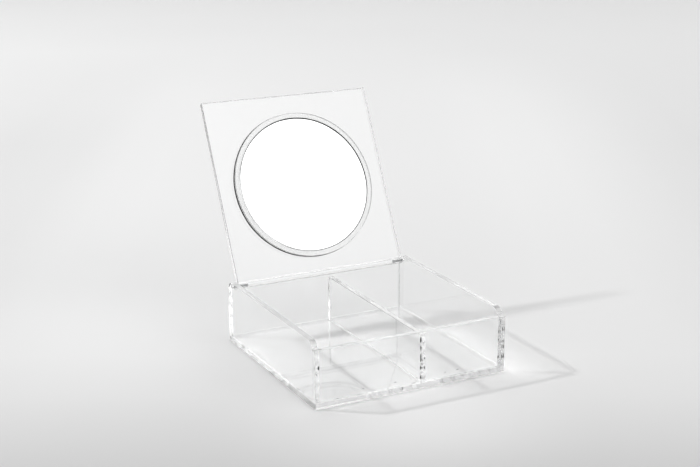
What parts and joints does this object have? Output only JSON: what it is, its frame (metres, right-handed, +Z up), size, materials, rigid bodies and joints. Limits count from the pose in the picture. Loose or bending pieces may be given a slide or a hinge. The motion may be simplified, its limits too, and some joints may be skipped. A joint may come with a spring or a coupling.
{
  "type": "hinged-lid acrylic makeup case",
  "caption": "Clear acrylic makeup case with two open compartments and a pin-hinged lid carrying a round mirror on its inner face.",
  "frame": {"origin": "centre of the case's underside, on the surface that it stands on", "axes": "+X to the user's right along the hinge axis, +Y towards the back, +Z up"},
  "size_m": [0.18, 0.252, 0.2072],
  "materials": {
    "clear_acrylic": "clear polished acrylic sheet",
    "lid_acrylic": "clear polished acrylic sheet",
    "ring_acrylic": "clear turned and polished acrylic",
    "mirror": "silvered",
    "tape": "matt white film",
    "pin_steel": "drawn wire"
  },
  "bodies": {
    "case": {"base_plate": "clear_acrylic", "front_wall": "clear_acrylic", "left_side_wall": "clear_acrylic", "right_side_wall": "clear_acrylic", "back_wall": "clear_acrylic", "divider": "clear_acrylic"},
    "lid": {"lid_panel": "lid_acrylic", "mirror_ring": "ring_acrylic", "mirror_glass": "mirror", "mirror_tape": "tape", "hinge_pin_left": "pin_steel", "hinge_pin_right": "pin_steel"}
  },
  "joints": [
    {"name": "lid_hinge", "type": "hinge", "parent": "case", "child": "lid", "pos_m": [0, 0.0818, 0.053], "axis": [1, 0, 0], "range_deg": [0, 117]}
  ]
}
